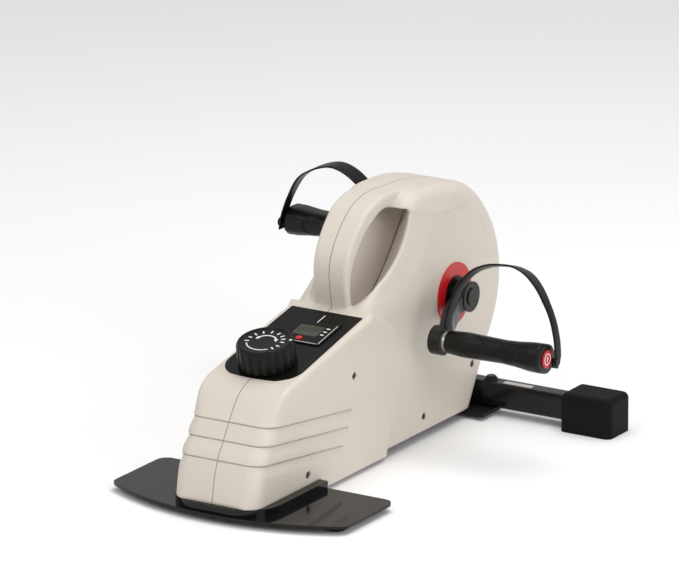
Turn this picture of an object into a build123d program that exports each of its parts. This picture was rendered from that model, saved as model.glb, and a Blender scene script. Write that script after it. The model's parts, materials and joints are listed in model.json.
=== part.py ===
from build123d import *
import math
import os

# Magnetic mini pedal exerciser, in millimetres.
# +X is the user's right, +Y points away from the user, +Z is up.
# The origin is under the middle of the machine, on the floor.

# Casing
SIDE_X = 45.3           # outside of the disc part, from the middle plane
NOSE_X = 49.8           # outside of the wider nose part
WALL = 3.0
RIM_ROUND = 14.0
BOTTOM_Z = 9.5
FRONT_BOTTOM_Z = 4.8
NOSE_BOTTOM_Z = 17.0
SLOPE = math.degrees(math.atan(0.22))       # of the console, down towards the user
CONSOLE_FRONT = (-180.6, 128.0)

# Crank and pedals
CRANK_Y, CRANK_Z = 143.15, 142.6
CRANK_R = 88.9
CRANK_ANGLE = -165.5    # of the right crank, from +Y towards +Z
DISC_R = 115.2
AXLE_R = 8.5
RUNNING = 0.05          # radial gap of a running fit
PEDAL_IN, PEDAL_OUT = 92.0, 205.5
PEDAL_DEPTH, PEDAL_TALL, PEDAL_CHAMFER = 36.0, 31.0, 7.0
SPINDLE_R = 6.0
RIGHT_TILT, LEFT_TILT = -18.0, 0.0
RIGHT_LEAN, LEFT_LEAN = -8.0, 15.0          # how far behind its spindle each strap stands
PEG_Y, PEG_Z, PEG_R = 14.0, -1.0, 3.0
STRAP_T, STRAP_W = 2.4, 25.0

# Drive inside the casing
PULLEY_R, SMALL_PULLEY_R = 66.0, 13.0
BELT_X, BELT_W, BELT_T = -8.0, 8.0, 1.6
WHEEL_Y, WHEEL_Z, WHEEL_R = 5.0, 78.0, 56.0
WHEEL_X, WHEEL_W = 15.0, 18.0
PLATE_X, PLATE_T = 34.0, 3.0

# Base and rear stabilizer
BASE_HALF, BASE_FRONT, BASE_APEX, BASE_REAR = 138.3, -221.0, -258.35, -126.0
BASE_TOP, BASE_T = 9.5, 3.0
PAD_T = BASE_TOP - BASE_T
TUBE_Y, TUBE_D, TUBE_Z0, TUBE_Z1 = 205.0, 22.0, 8.0, 35.0
BOLT_X = 55.0
CAP_IN, CAP_OUT = 149.5, 209.55
CAP_Y0, CAP_Y1, CAP_H = 182.5, 227.5, 42.0

# Console
KNOB_Y, KNOB_R, KNOB_H = -145.0, 30.0, 27.0
PANEL_T = 1.8
MODULE = (8.0, -74.0, 46.0, 50.0)           # centre X and Y, size X and Y
LCD = (3.0, -72.5, 28.0, 20.0)
BUTTON = (3.5, -91.0)

os.makedirs("parts", exist_ok=True)


def save(shape, name):
    solids = shape.solids()
    export_step(solids[0] if len(solids) == 1 else Compound(children=list(solids)), f"parts/{name}.step")


def along_x(face, x0, x1):
    """A face of (Y, Z) points, carried from x0 to x1."""
    return extrude(Plane.YZ.offset(x0) * face, amount=x1 - x0, dir=(1, 0, 0))


def disc_x(radius, x0, x1, y, z):
    return Pos(0.5 * (x0 + x1), y, z) * Rot(0, 90, 0) * Cylinder(radius, abs(x1 - x0))


def ring_x(outer, inner, x0, x1, y, z):
    grow = 1.0
    return disc_x(outer, x0, x1, y, z) - disc_x(inner, x0 - grow, x1 + grow, y, z)


def block(x0, x1, y0, y1, z0, z1):
    return Pos(0.5 * (x0 + x1), 0.5 * (y0 + y1), 0.5 * (z0 + z1)) * Box(x1 - x0, y1 - y0, z1 - z0)


def mirrored(shape):
    return mirror(shape, about=Plane.YZ)


def console_z(y):
    return CONSOLE_FRONT[1] + 0.22 * (y - CONSOLE_FRONT[0])


def on_console(x, y, height=0.0):
    """Placement on the sloping console: local Z stands square to it."""
    return Pos(x, y, console_z(y)) * Rot(SLOPE, 0, 0) * Pos(0, 0, height)


# ---------------------------------------------------------------- casing

def disc_point(angle, inset=0.0):
    a = math.radians(angle)
    r = DISC_R - inset
    return (CRANK_Y + r * math.cos(a), CRANK_Z + r * math.sin(a))


def moved_left(points, distance):
    """The points of an open path, moved to the left of its direction."""
    moved = []
    for i, (y, z) in enumerate(points):
        y0, z0 = points[max(i - 1, 0)]
        y1, z1 = points[min(i + 1, len(points) - 1)]
        run = math.hypot(y1 - y0, z1 - z0)
        moved.append((y - distance * (z1 - z0) / run, z + distance * (y1 - y0) / run))
    return moved


TOP_POINT = (150.0, 257.6)
CREST = [(129, 262.0), (100, 265.5), (76, 264), (60, 253), (53, 232), (36, 210), (2, 190), (-24, 176), (-46, 157.8)]
SEAM = [(129, 245), (106, 214), (84, 187), (60, 164), (36, 148.5), (12, 146), (-8, 152), (-24, 163), (-46, 157.6)]


def body_face(inset=0.0):
    """Side outline of the casing without its handle, or the outline of the room inside it."""
    back, side, top = disc_point(-35, inset), disc_point(30, inset), (TOP_POINT[0], TOP_POINT[1] - inset)
    shoulder = [TOP_POINT] + CREST
    nose = [CONSOLE_FRONT, (-200, 117), (-224.5, 83), (-239, 59), (-249.5, NOSE_BOTTOM_Z)]
    chain = moved_left(shoulder + nose, inset)
    shoulder = [top] + chain[1:len(shoulder)]
    nose = chain[len(shoulder):-1] + [(-249.5 + inset, NOSE_BOTTOM_Z + inset)]
    step, low, floor = NOSE_BOTTOM_Z + inset, FRONT_BOTTOM_Z + inset, BOTTOM_Z + inset
    heel = (-124.0 + inset, low)
    rear_foot = (190.0 - 0.55 * inset, floor)
    edges = [
        Line(nose[-1], (heel[0], step)),
        Line((heel[0], step), heel),
        Line(heel, (7.0 - inset, low)),
        Line((7.0 - inset, low), (7.0 - inset, floor)),
        Line((7.0 - inset, floor), rear_foot),
        Line(rear_foot, back),
        ThreePointArc(back, side, top),
        Spline(*shoulder),
        Line(shoulder[-1], nose[0]),
        Spline(*nose),
    ]
    return make_face(edges)


def air_face(curve, lift):
    """The air over a curve of the hand scoop, as a side outline."""
    curve = moved_left(curve, lift)
    roof = (curve[-1][0] - 6, 330)
    return make_face([Spline(*curve), Line(curve[-1], roof), Line(roof, (curve[0][0] + 20, 330)),
                      Line((curve[0][0] + 20, 330), curve[0])])


def hand_scoop(lift=0.0):
    """Hollow behind the handle: deep on the middle plane, and out to the crest at the side."""
    middle = Plane.YZ.offset(-0.01) * air_face(SEAM, lift)
    side = Plane.YZ.offset(43.0 + lift) * air_face(CREST, lift - 0.4)
    return loft([middle, side], ruled=True)


def nose_area():
    """Everything in front of the step line on the casing's side."""
    return make_face(Polyline((-300, -20), (3, -20), (11, 22), (29, 53), (38, 75), (40, 108),
                              (20, 140), (-40, 175), (-300, 175), (-300, -20)))


def plan_round(width):
    """Plan of the nose: a tongue with large front corners."""
    corner = 38.0
    long = 600.0
    front = -249.5
    face = Pos(0, front + long / 2) * RectangleRounded(2 * width, long, corner)
    return extrude(face, amount=300)


def handle_face(inset=0.0):
    """Side outline of the carrying handle, a band from the console over to the disc's top."""
    outer = [(-19, 154), (-23, 163), (-28, 195), (-26, 214), (-17, 231), (-2, 248), (16, 261), (43, 268.5), (75, 267.5),
             (104, 266), (129, 262), TOP_POINT]
    inner = [(150, 236), (128, 236), (100, 240), (66, 250.5), (40, 253), (14, 240), (-1, 225), (-13, 208),
             (-17, 192), (-16, 172), (-10, 156), (-4, 148)]
    outer, inner = moved_left(outer, -inset), moved_left(inner, -inset)
    return make_face([Spline(*outer), Line(outer[-1], inner[0]), Spline(*inner), Line(inner[-1], outer[0])])


def handle_width(inset=0.0):
    """Plan of the handle: a narrow band that tapers off over the top of the disc."""
    half = 22.0 - inset
    plan = make_face(Polyline((0, -60), (half, -60), (half, 100), (2, 165), (0, 165), (0, -60)))
    return extrude(plan, amount=300)


def rounded_disc(face, x0, x1, radius):
    """The outline carried from x0 to x1, its outer rim rounded behind the nose."""
    body = along_x(face, x0, x1)
    rim = [e for e in body.faces().sort_by(Axis.X)[-1].edges() if e.center().Y > -20]
    return fillet([e for e in rim if e.center().Z > BOTTOM_Z + WALL + 1], radius)


def casing_hollow():
    """Room inside the right half, and its open floor."""
    room = rounded_disc(body_face(WALL), -1, SIDE_X - WALL, RIM_ROUND - WALL) - hand_scoop(WALL)
    nose = along_x(body_face(WALL) & Pos(-WALL, 0) * nose_area(), -1, NOSE_X - WALL)
    nose = nose & plan_round(NOSE_X - WALL) & block(-2, 60, -246, 300, 0, 300)
    nose = nose - hand_scoop(WALL)
    floor = block(-1, SIDE_X - WALL, -218, 194, -5, NOSE_BOTTOM_Z + WALL + 1)
    return room, nose, floor


def casing_right():
    solid = rounded_disc(body_face(), 0, SIDE_X, RIM_ROUND)
    band = along_x(handle_face(), 0, SIDE_X)
    roof = solid & band & block(-1, 60, 58, 300, 200, 300)
    nose = along_x(body_face() & nose_area(), 0, NOSE_X) & plan_round(NOSE_X)
    shell = solid + nose - hand_scoop()
    for hollow in casing_hollow():
        shell = shell - hollow
    shell = shell + roof + (band & handle_width())
    for x, y, z in SCREWS:
        shell = shell + disc_x(6, x - 7.5, x - 2.5, y, z)
        shell = shell - disc_x(3.6, x - 3.9, x + 10, y, z) - disc_x(1.7, x - 12, x + 1, y, z)
    shell = shell - disc_x(19.5, 30, 60, CRANK_Y, CRANK_Z)
    shell = shell - block(-1, 60, TUBE_Y - TUBE_D / 2 - 1, 260, -5, TUBE_Z1 + 0.8)
    x, y, w, d = MODULE
    shell = shell - panel_place(-PANEL_T) * extrude(panel_outline(0.3), amount=20)
    shell = shell - on_console(x, y, -20) * extrude(RectangleRounded(w + 0.4, d + 0.4, 4), amount=30)
    shell = shell - on_console(0, KNOB_Y, -30) * Cylinder(9, 60)
    main = max(shell.solids(), key=lambda solid: solid.volume)
    return main & block(0, 60, -300, 300, 0, 300)


SCREWS = [(NOSE_X, -148.2, 27.5), (NOSE_X, -59.7, 108.1), (SIDE_X, 85.3, 25.3), (SIDE_X, 183.0, 56.0)]


def casing_screws():
    """Screws in the right half's bosses, reached from outside."""
    group = []
    for x, y, z in SCREWS:
        group.append(disc_x(3.3, x - 3.9, x - 1.7, y, z) + disc_x(1.6, x - 7.3, x - 3.8, y, z))
    return Compound(children=group)


# ---------------------------------------------------------------- base and stabilizer

def base_plate():
    edge = [
        Line((-BASE_HALF, BASE_REAR), (-BASE_HALF, BASE_FRONT)),
        ThreePointArc((-BASE_HALF, BASE_FRONT), (0, BASE_APEX), (BASE_HALF, BASE_FRONT)),
        Line((BASE_HALF, BASE_FRONT), (BASE_HALF, BASE_REAR)),
        Line((BASE_HALF, BASE_REAR), (-BASE_HALF, BASE_REAR)),
    ]
    sheet = extrude(make_face(edge), amount=BASE_T)
    sheet = fillet(sheet.edges().filter_by(Axis.Z), 12)
    raised = Pos(0, (BASE_REAR - 254) / 2) * RectangleRounded(118, 254 + BASE_REAR - 0.2, 40)
    square = Pos(0, BASE_REAR - 30) * Rectangle(118, 60 - 0.2)
    top = extrude(raised + square, amount=NOSE_BOTTOM_Z - PAD_T)
    inside = extrude(offset(raised + square, amount=-BASE_T), amount=NOSE_BOTTOM_Z - PAD_T - BASE_T)
    plate = Pos(0, 0, PAD_T) * (sheet + top - inside)
    for x, y in PLATE_BOLTS:
        plate = plate - Pos(x, y, 12) * Cylinder(3.2, 30)
    return plate


PLATE_BOLTS = [(-12, -200), (12, -200), (-12, -150), (12, -150)]


def plate_bolts():
    return Compound(children=[Pos(x, y, 12) * Cylinder(5, 4) + Pos(x, y, 17) * Cylinder(3, 10)
                              for x, y in PLATE_BOLTS])


def plate_pad():
    """Rubber strip under the right side of the base plate."""
    strip = Pos(110, -172) * RectangleRounded(36, 88, 10)
    return extrude(strip, amount=PAD_T)


def main_frame():
    spine = block(-20, 20, -215, TUBE_Y - TUBE_D / 2, NOSE_BOTTOM_Z, 40)
    spine = spine - block(-17.5, 17.5, -220, 200, NOSE_BOTTOM_Z + 2.5, 37.5)
    spine = spine - block(WHEEL_X - 12, 25, WHEEL_Y - 62, WHEEL_Y + 62, NOSE_BOTTOM_Z + 2.5, 45)
    cross = block(-PLATE_X, PLATE_X, -8, 18, 12, NOSE_BOTTOM_Z) + block(-PLATE_X, PLATE_X, 130, 156, 12, NOSE_BOTTOM_Z)
    foot = block(-66, 66, 170, 214, 4, TUBE_Z0) + block(-20, 20, 170, 190, TUBE_Z0, NOSE_BOTTOM_Z)
    frame = spine + cross + foot
    for x in (-BOLT_X, BOLT_X):
        frame = frame - Pos(x, TUBE_Y, 6) * Cylinder(4.2, 10)
    for x, y in PLATE_BOLTS:
        frame = frame - Pos(x, y, 18) * Cylinder(3.2, 8)
    return frame


def side_plate():
    """Right upright: it carries a crank bearing and one end of the flywheel axle."""
    outline = make_hull((
        Pos(CRANK_Y, CRANK_Z) * Circle(26)
        + Pos(WHEEL_Y, WHEEL_Z) * Circle(16)
        + Pos(0, 22) * Rectangle(16, 20)
        + Pos(143, 22) * Rectangle(26, 20)).edges())
    window = make_hull((Pos(62, 50) * Circle(12) + Pos(115, 92) * Circle(9) + Pos(118, 48) * Circle(10)).edges())
    plate = along_x(outline - window, PLATE_X, PLATE_X + PLATE_T)
    plate = plate - disc_x(16, 30, 40, CRANK_Y, CRANK_Z)
    return plate - disc_x(5, 30, 40, WHEEL_Y, WHEEL_Z)


def rear_tube():
    depth, tall = TUBE_D, TUBE_Z1 - TUBE_Z0
    wall = 2.0
    section = RectangleRounded(depth, tall, 4) - RectangleRounded(depth - 2 * wall, tall - 2 * wall, 2)
    place = Pos(TUBE_Y, 0.5 * (TUBE_Z0 + TUBE_Z1))
    tube = along_x(place * section, -203, 203)
    for x in (-BOLT_X, BOLT_X):
        tube = tube - Pos(x, TUBE_Y, 20) * Cylinder(4.2, 60)
    return tube


def end_cap():
    cap = block(CAP_IN, CAP_OUT, CAP_Y0, CAP_Y1, 0, CAP_H)
    upper = [e for e in cap.edges() if e.center().Z > CAP_H - 1]
    cap = fillet(upper + list(cap.edges().filter_by(Axis.Z)), 7)
    socket = Pos(TUBE_Y, 0.5 * (TUBE_Z0 + TUBE_Z1)) * RectangleRounded(TUBE_D, TUBE_Z1 - TUBE_Z0, 4)
    return cap - along_x(socket, CAP_IN - 1, 203)


def stabilizer_bolts():
    group = []
    for x in (-BOLT_X, BOLT_X):
        shank = Pos(x, TUBE_Y, 20) * Cylinder(4, 31)
        head = Pos(x, TUBE_Y, TUBE_Z1 + 2.3) * Cone(8.5, 4.5, 4.6)
        nut = extrude(Pos(x, TUBE_Y) * RegularPolygon(6.5, 6), amount=3)
        group.append(shank + head + Pos(0, 0, 1) * nut)
    return Compound(children=group)


# ---------------------------------------------------------------- drive

def crank_bearing():
    bearing = ring_x(16, AXLE_R + RUNNING, 32, 41, CRANK_Y, CRANK_Z)
    for x0 in (31, 40.2):
        bearing = bearing - ring_x(14, 11, x0, x0 + 1.8, CRANK_Y, CRANK_Z)
    return bearing


def crank_axle():
    axle = disc_x(AXLE_R, -64, 64, CRANK_Y, CRANK_Z)
    return axle + disc_x(11, -16, -2, CRANK_Y, CRANK_Z)


def drive_pulley():
    x0, x1 = BELT_X - BELT_W / 2 - 1, BELT_X + BELT_W / 2 + 1
    wheel = ring_x(PULLEY_R + 2, 11, x0, x1, CRANK_Y, CRANK_Z)
    wheel = wheel - ring_x(PULLEY_R + 4, PULLEY_R, x0 + 1, x1 - 1, CRANK_Y, CRANK_Z)
    for i in range(5):
        a = math.radians(72 * i)
        wheel = wheel - disc_x(15, x0 - 1, x1 + 1, CRANK_Y + 39 * math.cos(a), CRANK_Z + 39 * math.sin(a))
    return wheel


def drive_belt():
    """Open belt round both pulleys, a quarter of a millimetre clear of them."""
    gap = 0.25
    x0, x1 = BELT_X - BELT_W / 2 + 0.3, BELT_X + BELT_W / 2 - 0.3

    def loop(extra):
        big = Pos(CRANK_Y, CRANK_Z) * Circle(PULLEY_R + extra)
        small = Pos(WHEEL_Y, WHEEL_Z) * Circle(SMALL_PULLEY_R + extra)
        return make_hull((big + small).edges())

    return along_x(loop(gap + BELT_T) - loop(gap), x0, x1)


def flywheel():
    x0, x1 = WHEEL_X - WHEEL_W / 2, WHEEL_X + WHEEL_W / 2
    wheel = ring_x(WHEEL_R, 11, x0, x1, WHEEL_Y, WHEEL_Z)
    for face in (x0 - 1, x1 - 4):
        wheel = wheel - ring_x(44, 18, face, face + 5, WHEEL_Y, WHEEL_Z)
    return wheel


def flywheel_pulley():
    x0, x1 = BELT_X - BELT_W / 2 - 1, BELT_X + BELT_W / 2 + 1
    hub = ring_x(SMALL_PULLEY_R + 2, 5 + RUNNING, x0, x1, WHEEL_Y, WHEEL_Z)
    hub = hub - ring_x(SMALL_PULLEY_R + 4, SMALL_PULLEY_R, x0 + 1, x1 - 1, WHEEL_Y, WHEEL_Z)
    return hub + ring_x(9, 5 + RUNNING, x1, WHEEL_X - WHEEL_W / 2, WHEEL_Y, WHEEL_Z)


def flywheel_bearings():
    x0, x1 = WHEEL_X - WHEEL_W / 2, WHEEL_X + WHEEL_W / 2
    return Compound(children=[ring_x(11, 5 + RUNNING, x0, x0 + 7, WHEEL_Y, WHEEL_Z),
                              ring_x(11, 5 + RUNNING, x1 - 7, x1, WHEEL_Y, WHEEL_Z)])


def flywheel_axle():
    axle = disc_x(5, -41.5, 41.5, WHEEL_Y, WHEEL_Z)
    for x in (-1, 1):
        nut = Pos(x * 39.2, WHEEL_Y, WHEEL_Z) * Rot(0, 90, 0) * extrude(RegularPolygon(8.5, 6), amount=2, both=True)
        axle = axle + nut
    return axle


# The brake: an arc of magnets that swings away from the flywheel about a pin.
ARC_IN, ARC_OUT = 60.0, 63.0
ARC_FROM, ARC_TO = 118.0, 176.0
PIVOT_Y = WHEEL_Y + 66.0 * math.cos(math.radians(112))
PIVOT_Z = WHEEL_Z + 66.0 * math.sin(math.radians(112))


def arc_band(inner, outer, start, end, x0, x1):
    """Part of a ring about the flywheel's axis, from one angle to another."""
    far = 90.0
    steps = [start + (end - start) * i / 4 for i in range(5)]
    wedge = [(0, 0)] + [(far * math.cos(math.radians(a)), far * math.sin(math.radians(a))) for a in steps]
    cutter = along_x(Pos(WHEEL_Y, WHEEL_Z) * make_face(Polyline(*wedge, (0, 0))), x0, x1)
    return ring_x(outer, inner, x0, x1, WHEEL_Y, WHEEL_Z) & cutter


def magnet_bracket():
    x0, x1 = WHEEL_X - WHEEL_W / 2, WHEEL_X + WHEEL_W / 2
    band = arc_band(ARC_IN, ARC_OUT, ARC_FROM, ARC_TO, x0, x1)
    lug = disc_x(5.5, x0, x1, PIVOT_Y, PIVOT_Z) + arc_band(ARC_IN + 1, ARC_OUT + 3, 112, ARC_FROM + 6, x0, x1)
    return band + lug - disc_x(3 + RUNNING, x0 - 1, x1 + 1, PIVOT_Y, PIVOT_Z)


def brake_magnets():
    x0, x1 = WHEEL_X - 7, WHEEL_X + 7
    return Compound(children=[arc_band(ARC_IN - 2.4, ARC_IN, a, a + 11, x0, x1) for a in (121, 135, 149, 163)])


def bracket_pin():
    pin = disc_x(3, -4, PLATE_X + PLATE_T, PIVOT_Y, PIVOT_Z)
    return pin + disc_x(4.5, -5.5, -4, PIVOT_Y, PIVOT_Z)


def pin_holder():
    """Tab on the right upright that holds the brake's pin."""
    tab = make_hull((Pos(PIVOT_Y, PIVOT_Z) * Circle(7) + Pos(WHEEL_Y + 8, WHEEL_Z + 14) * Circle(10)).edges())
    return along_x(tab, PLATE_X - 3, PLATE_X) - disc_x(3, 20, 40, PIVOT_Y, PIVOT_Z)


def return_spring():
    """Torsion spring round the pin, beside the bracket."""
    pitch, turns = 1.3, 4
    coil = Helix(pitch=pitch, height=pitch * turns, radius=4.4)
    wire = sweep(Plane(coil @ 0, z_dir=coil % 0) * Circle(0.55), path=coil)
    return Pos(24.8, PIVOT_Y, PIVOT_Z) * Rot(0, 90, 0) * wire


def sensor_magnet():
    return disc_x(3.5, BELT_X - BELT_W / 2 - 4, BELT_X - BELT_W / 2 - 1, CRANK_Y + 20, CRANK_Z)


def speed_sensor():
    """Reed switch on an arm from the left upright, level with the magnet's circle."""
    arm = block(-PLATE_X, -22, CRANK_Y - 8, CRANK_Y + 8, CRANK_Z - 32, CRANK_Z - 29)
    head = block(-24, -17, CRANK_Y - 6, CRANK_Y + 6, CRANK_Z - 29, CRANK_Z - 14)
    return arm + head


# ---------------------------------------------------------------- cranks and pedals

def crank_arm():
    """Right crank along +Y from the axle at the origin, cranked outwards at its waist."""
    side = make_face(Polyline((53, -8), (66, -8), (66.5, 22), (76, 52), (86.5, 72), (86.5, 92),
                              (75, 92), (72, 74), (60, 46), (54, 20), (53, -8)))
    web = extrude(side, amount=10, both=True)
    arm = fillet(web.edges().filter_by(Plane.XY), 2.5)
    arm = arm + disc_x(16, 52, 67.3, 0, 0) + disc_x(15, 74, 86.5, CRANK_R, 0)
    arm = arm - disc_x(AXLE_R, 40, 64, 0, 0) - disc_x(SPINDLE_R, 60, 100, CRANK_R, 0)
    return arm - disc_x(12, 65, 70, 0, 0)


def crank_cap():
    return disc_x(12, 65, 67.3, 0, 0) + disc_x(9, 67.3, 68.6, 0, 0)


def pedal_spindle():
    return disc_x(SPINDLE_R, 74, 196, 0, 0) + disc_x(11, 86.5, 91.6, 0, 0)


def pedal_body():
    half_d, half_t, c = PEDAL_DEPTH / 2, PEDAL_TALL / 2, PEDAL_CHAMFER
    corners = [(half_d, half_t - c), (half_d - c, half_t), (c - half_d, half_t), (-half_d, half_t - c),
               (-half_d, c - half_t), (c - half_d, -half_t), (half_d - c, -half_t), (half_d, c - half_t)]
    section = make_face(Polyline(*corners, corners[0]))
    bar = along_x(section, PEDAL_IN, PEDAL_OUT)
    bar = fillet(bar.edges().filter_by(Axis.X), 3)
    return bar - disc_x(SPINDLE_R + RUNNING, PEDAL_IN - 1, 197, 0, 0)


def pedal_badge():
    return disc_x(9.3, PEDAL_OUT, PEDAL_OUT + 1.4, 0, 0)


def strap_peg():
    peg = disc_x(PEG_R, PEDAL_OUT, 212, PEG_Y, PEG_Z)
    return peg + disc_x(PEG_R + 1.4, 210.1, 212, PEG_Y, PEG_Z)


def pedal_strap(lean):
    """Rubber foot strap: a half ellipse over the pedal, hooked on a peg at the outer end."""
    foot, rise, mid, reach = 20.0, 71.5, 152.5, 63.5
    arch = Ellipse(reach, rise) - Ellipse(reach - STRAP_T, rise - STRAP_T)
    arch = Pos(mid, foot) * (arch & Pos(0, 60) * Rectangle(200, 120))
    leg = Pos(mid - reach + STRAP_T / 2, 16.5) * Rectangle(STRAP_T, 9)
    band = Pos(0, lean, 0) * extrude(Plane.XZ * (arch + leg), amount=STRAP_W / 2, both=True)
    x0, x1 = mid + reach - STRAP_T, mid + reach
    front, back = min(lean - 8, PEG_Y - 7), max(lean + 8, PEG_Y + 7)
    ear = make_face(Polyline((lean - 12.5, 20), (lean + 12.5, 20), (back, 13), (PEG_Y + 7, 6), (PEG_Y + 7, -8),
                             (PEG_Y - 7, -8), (PEG_Y - 7, 6), (front, 13), (lean - 12.5, 20)))
    drape = make_face(Polyline((x0, 22), (x1, 22), (x1, 19), (210.0, 3), (210.0, -8),
                               (207.6, -8), (207.6, 3), (x0, 19), (x0, 22)))
    outer_leg = along_x(ear, 200, 220) & extrude(Plane.XZ * drape, amount=60, both=True)
    return band + outer_leg - disc_x(PEG_R + 0.2, 200, 220, PEG_Y, PEG_Z)


def at_axle(shape, angle):
    return Pos(0, CRANK_Y, CRANK_Z) * Rot(angle, 0, 0) * shape


def at_pedal(shape, angle, tilt):
    a = math.radians(angle)
    place = Pos(0, CRANK_Y + CRANK_R * math.cos(a), CRANK_Z + CRANK_R * math.sin(a))
    return place * Rot(tilt, 0, 0) * shape


HALF_TURN = Rot(0, 0, 180)


def save_side(shape, name):
    """Save a piece of the crankset as its right and left copies."""
    save(at_axle(shape, CRANK_ANGLE), name + "_right")
    save(at_axle(HALF_TURN * shape, CRANK_ANGLE), name + "_left")


def save_pedal(right, left, name):
    """Save a pedal's right piece and, turned half round, its left piece."""
    save(at_pedal(right, CRANK_ANGLE, RIGHT_TILT), name + "_right")
    save(at_pedal(HALF_TURN * left, CRANK_ANGLE + 180, LEFT_TILT), name + "_left")


# ---------------------------------------------------------------- trim and console

def trim_ring():
    return ring_x(33, 19.5, SIDE_X, SIDE_X + 2.0, CRANK_Y, CRANK_Z)


def hub_cover():
    """Dust cover that closes the casing's hole round the axle."""
    return ring_x(19.4, AXLE_R + 0.6, 42.3, SIDE_X + 3.0, CRANK_Y, CRANK_Z)


def panel_outline(grow=0.0):
    """Console panel, about its own middle: straight sides and a bowed, rounded front."""
    half, front, rear = 44.0 + grow, -74.0 - grow, 74.0 + grow
    edge = [
        Line((half - 2, rear), (-half + 2, rear)),
        Line((-half + 2, rear), (-half, front + 28)),
        ThreePointArc((-half, front + 28), (-half + 6.5, front + 11), (-half + 18, front + 2)),
        ThreePointArc((-half + 18, front + 2), (0, front), (half - 18, front + 2)),
        ThreePointArc((half - 18, front + 2), (half - 6.5, front + 11), (half, front + 28)),
        Line((half, front + 28), (half - 2, rear)),
    ]
    return make_face(edge)


def panel_place(height):
    return on_console(0, -104, height)


def console_panel():
    plate = panel_place(-PANEL_T) * extrude(panel_outline(), amount=PANEL_T)
    x, y, w, d = MODULE
    plate = plate - on_console(x, y, -10) * extrude(RectangleRounded(w, d, 4), amount=20)
    return plate - on_console(0, KNOB_Y, 0) * Cylinder(7, 20)


def monitor_housing():
    x, y, w, d = MODULE
    box = on_console(x, y, -14) * extrude(RectangleRounded(w, d, 4), amount=15.2)
    lx, ly, lw, ld = LCD
    pocket = on_console(lx, ly, -4) * extrude(RectangleRounded(lw + 2, ld + 2, 1.5), amount=10)
    hole = on_console(*BUTTON, -4) * extrude(Circle(3.9), amount=12)
    return box - pocket - hole


def lcd_module():
    lx, ly, lw, ld = LCD
    return on_console(lx, ly, -4) * extrude(Rectangle(lw, ld), amount=2.5)


def monitor_lens():
    lx, ly, lw, ld = LCD
    return on_console(lx, ly, -1.5) * extrude(RectangleRounded(lw + 1.6, ld + 1.6, 1.3), amount=2.1)


def monitor_button():
    return on_console(*BUTTON, -2.6) * extrude(Circle(3.5), amount=5.0)


def tension_knob():
    body = on_console(0, KNOB_Y, 1.0) * extrude(Circle(KNOB_R), amount=KNOB_H - 1.0)
    ribs = 30
    groove = Circle(0.9)
    for i in range(ribs):
        a = math.radians(360 * i / ribs)
        spot = Pos((KNOB_R + 0.2) * math.cos(a), (KNOB_R + 0.2) * math.sin(a))
        body = body - on_console(0, KNOB_Y, 0.0) * extrude(spot * groove, amount=KNOB_H - 4)
    body = body - on_console(0, KNOB_Y, KNOB_H - 1.6) * extrude(Circle(KNOB_R - 5), amount=10)
    return body - on_console(0, KNOB_Y, 0) * extrude(Circle(5), amount=16)


def knob_cap():
    return on_console(0, KNOB_Y, KNOB_H - 1.6) * extrude(Circle(KNOB_R - 5.05), amount=1.5)


def knob_shaft():
    return on_console(0, KNOB_Y, -26) * extrude(Circle(5), amount=42)


def tension_housing():
    """Cam box under the console that pulls the brake cable as the knob turns."""
    box = on_console(0, KNOB_Y, -32) * extrude(RectangleRounded(38, 44, 6), amount=26)
    return box - on_console(0, KNOB_Y, -28) * extrude(Circle(5 + RUNNING), amount=40)


def tension_cable():
    """Sleeve of the brake cable, from the cam box down to the free end of the bracket."""
    points = [(15, -118, 118), (15, -100, 120), (15, -78, 116), (15, -68, 102)]
    path = FilletPolyline(*points, radius=24)
    return sweep(Plane(path @ 0, z_dir=path % 0) * Circle(2.2), path=path)


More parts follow.
